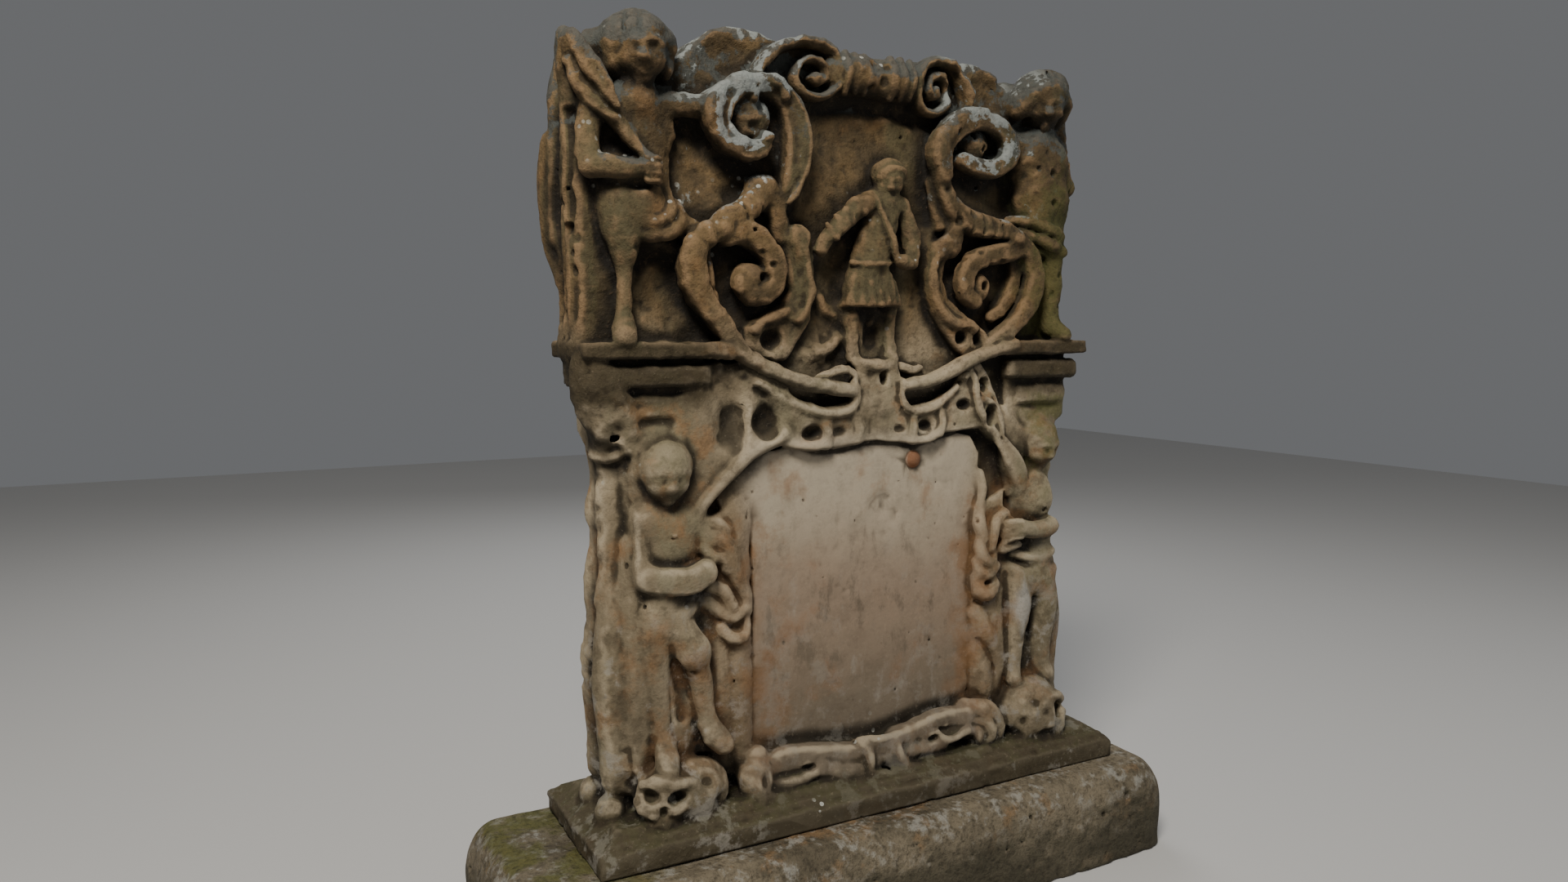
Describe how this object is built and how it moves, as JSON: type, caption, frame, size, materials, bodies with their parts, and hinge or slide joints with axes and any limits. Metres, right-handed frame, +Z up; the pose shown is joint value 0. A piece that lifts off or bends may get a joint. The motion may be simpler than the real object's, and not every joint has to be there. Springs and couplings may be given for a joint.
{
  "type": "headstone",
  "caption": "Upright carved sandstone headstone with standing figures, scrolls, a bare inscription panel, skulls and a moulded foot, on a low plinth with worn round edges.",
  "frame": {"origin": "middle of the plinth's flat underside, which is the bottom centre of the part's box", "axes": "+Z up, -Y the carved front of the stone, +X to the right of someone who faces that front"},
  "size_m": [1.146, 0.388, 1.3238],
  "materials": {
    "carved_sandstone": "weathered brown sandstone with grey lichen, dark soot in the hollows and pale buff below",
    "plinth_sandstone": "rough weathered grey-brown sandstone with pale lichen patches"
  },
  "bodies": {
    "root": {"headstone": "carved_sandstone", "plinth": "plinth_sandstone"}
  },
  "joints": []
}
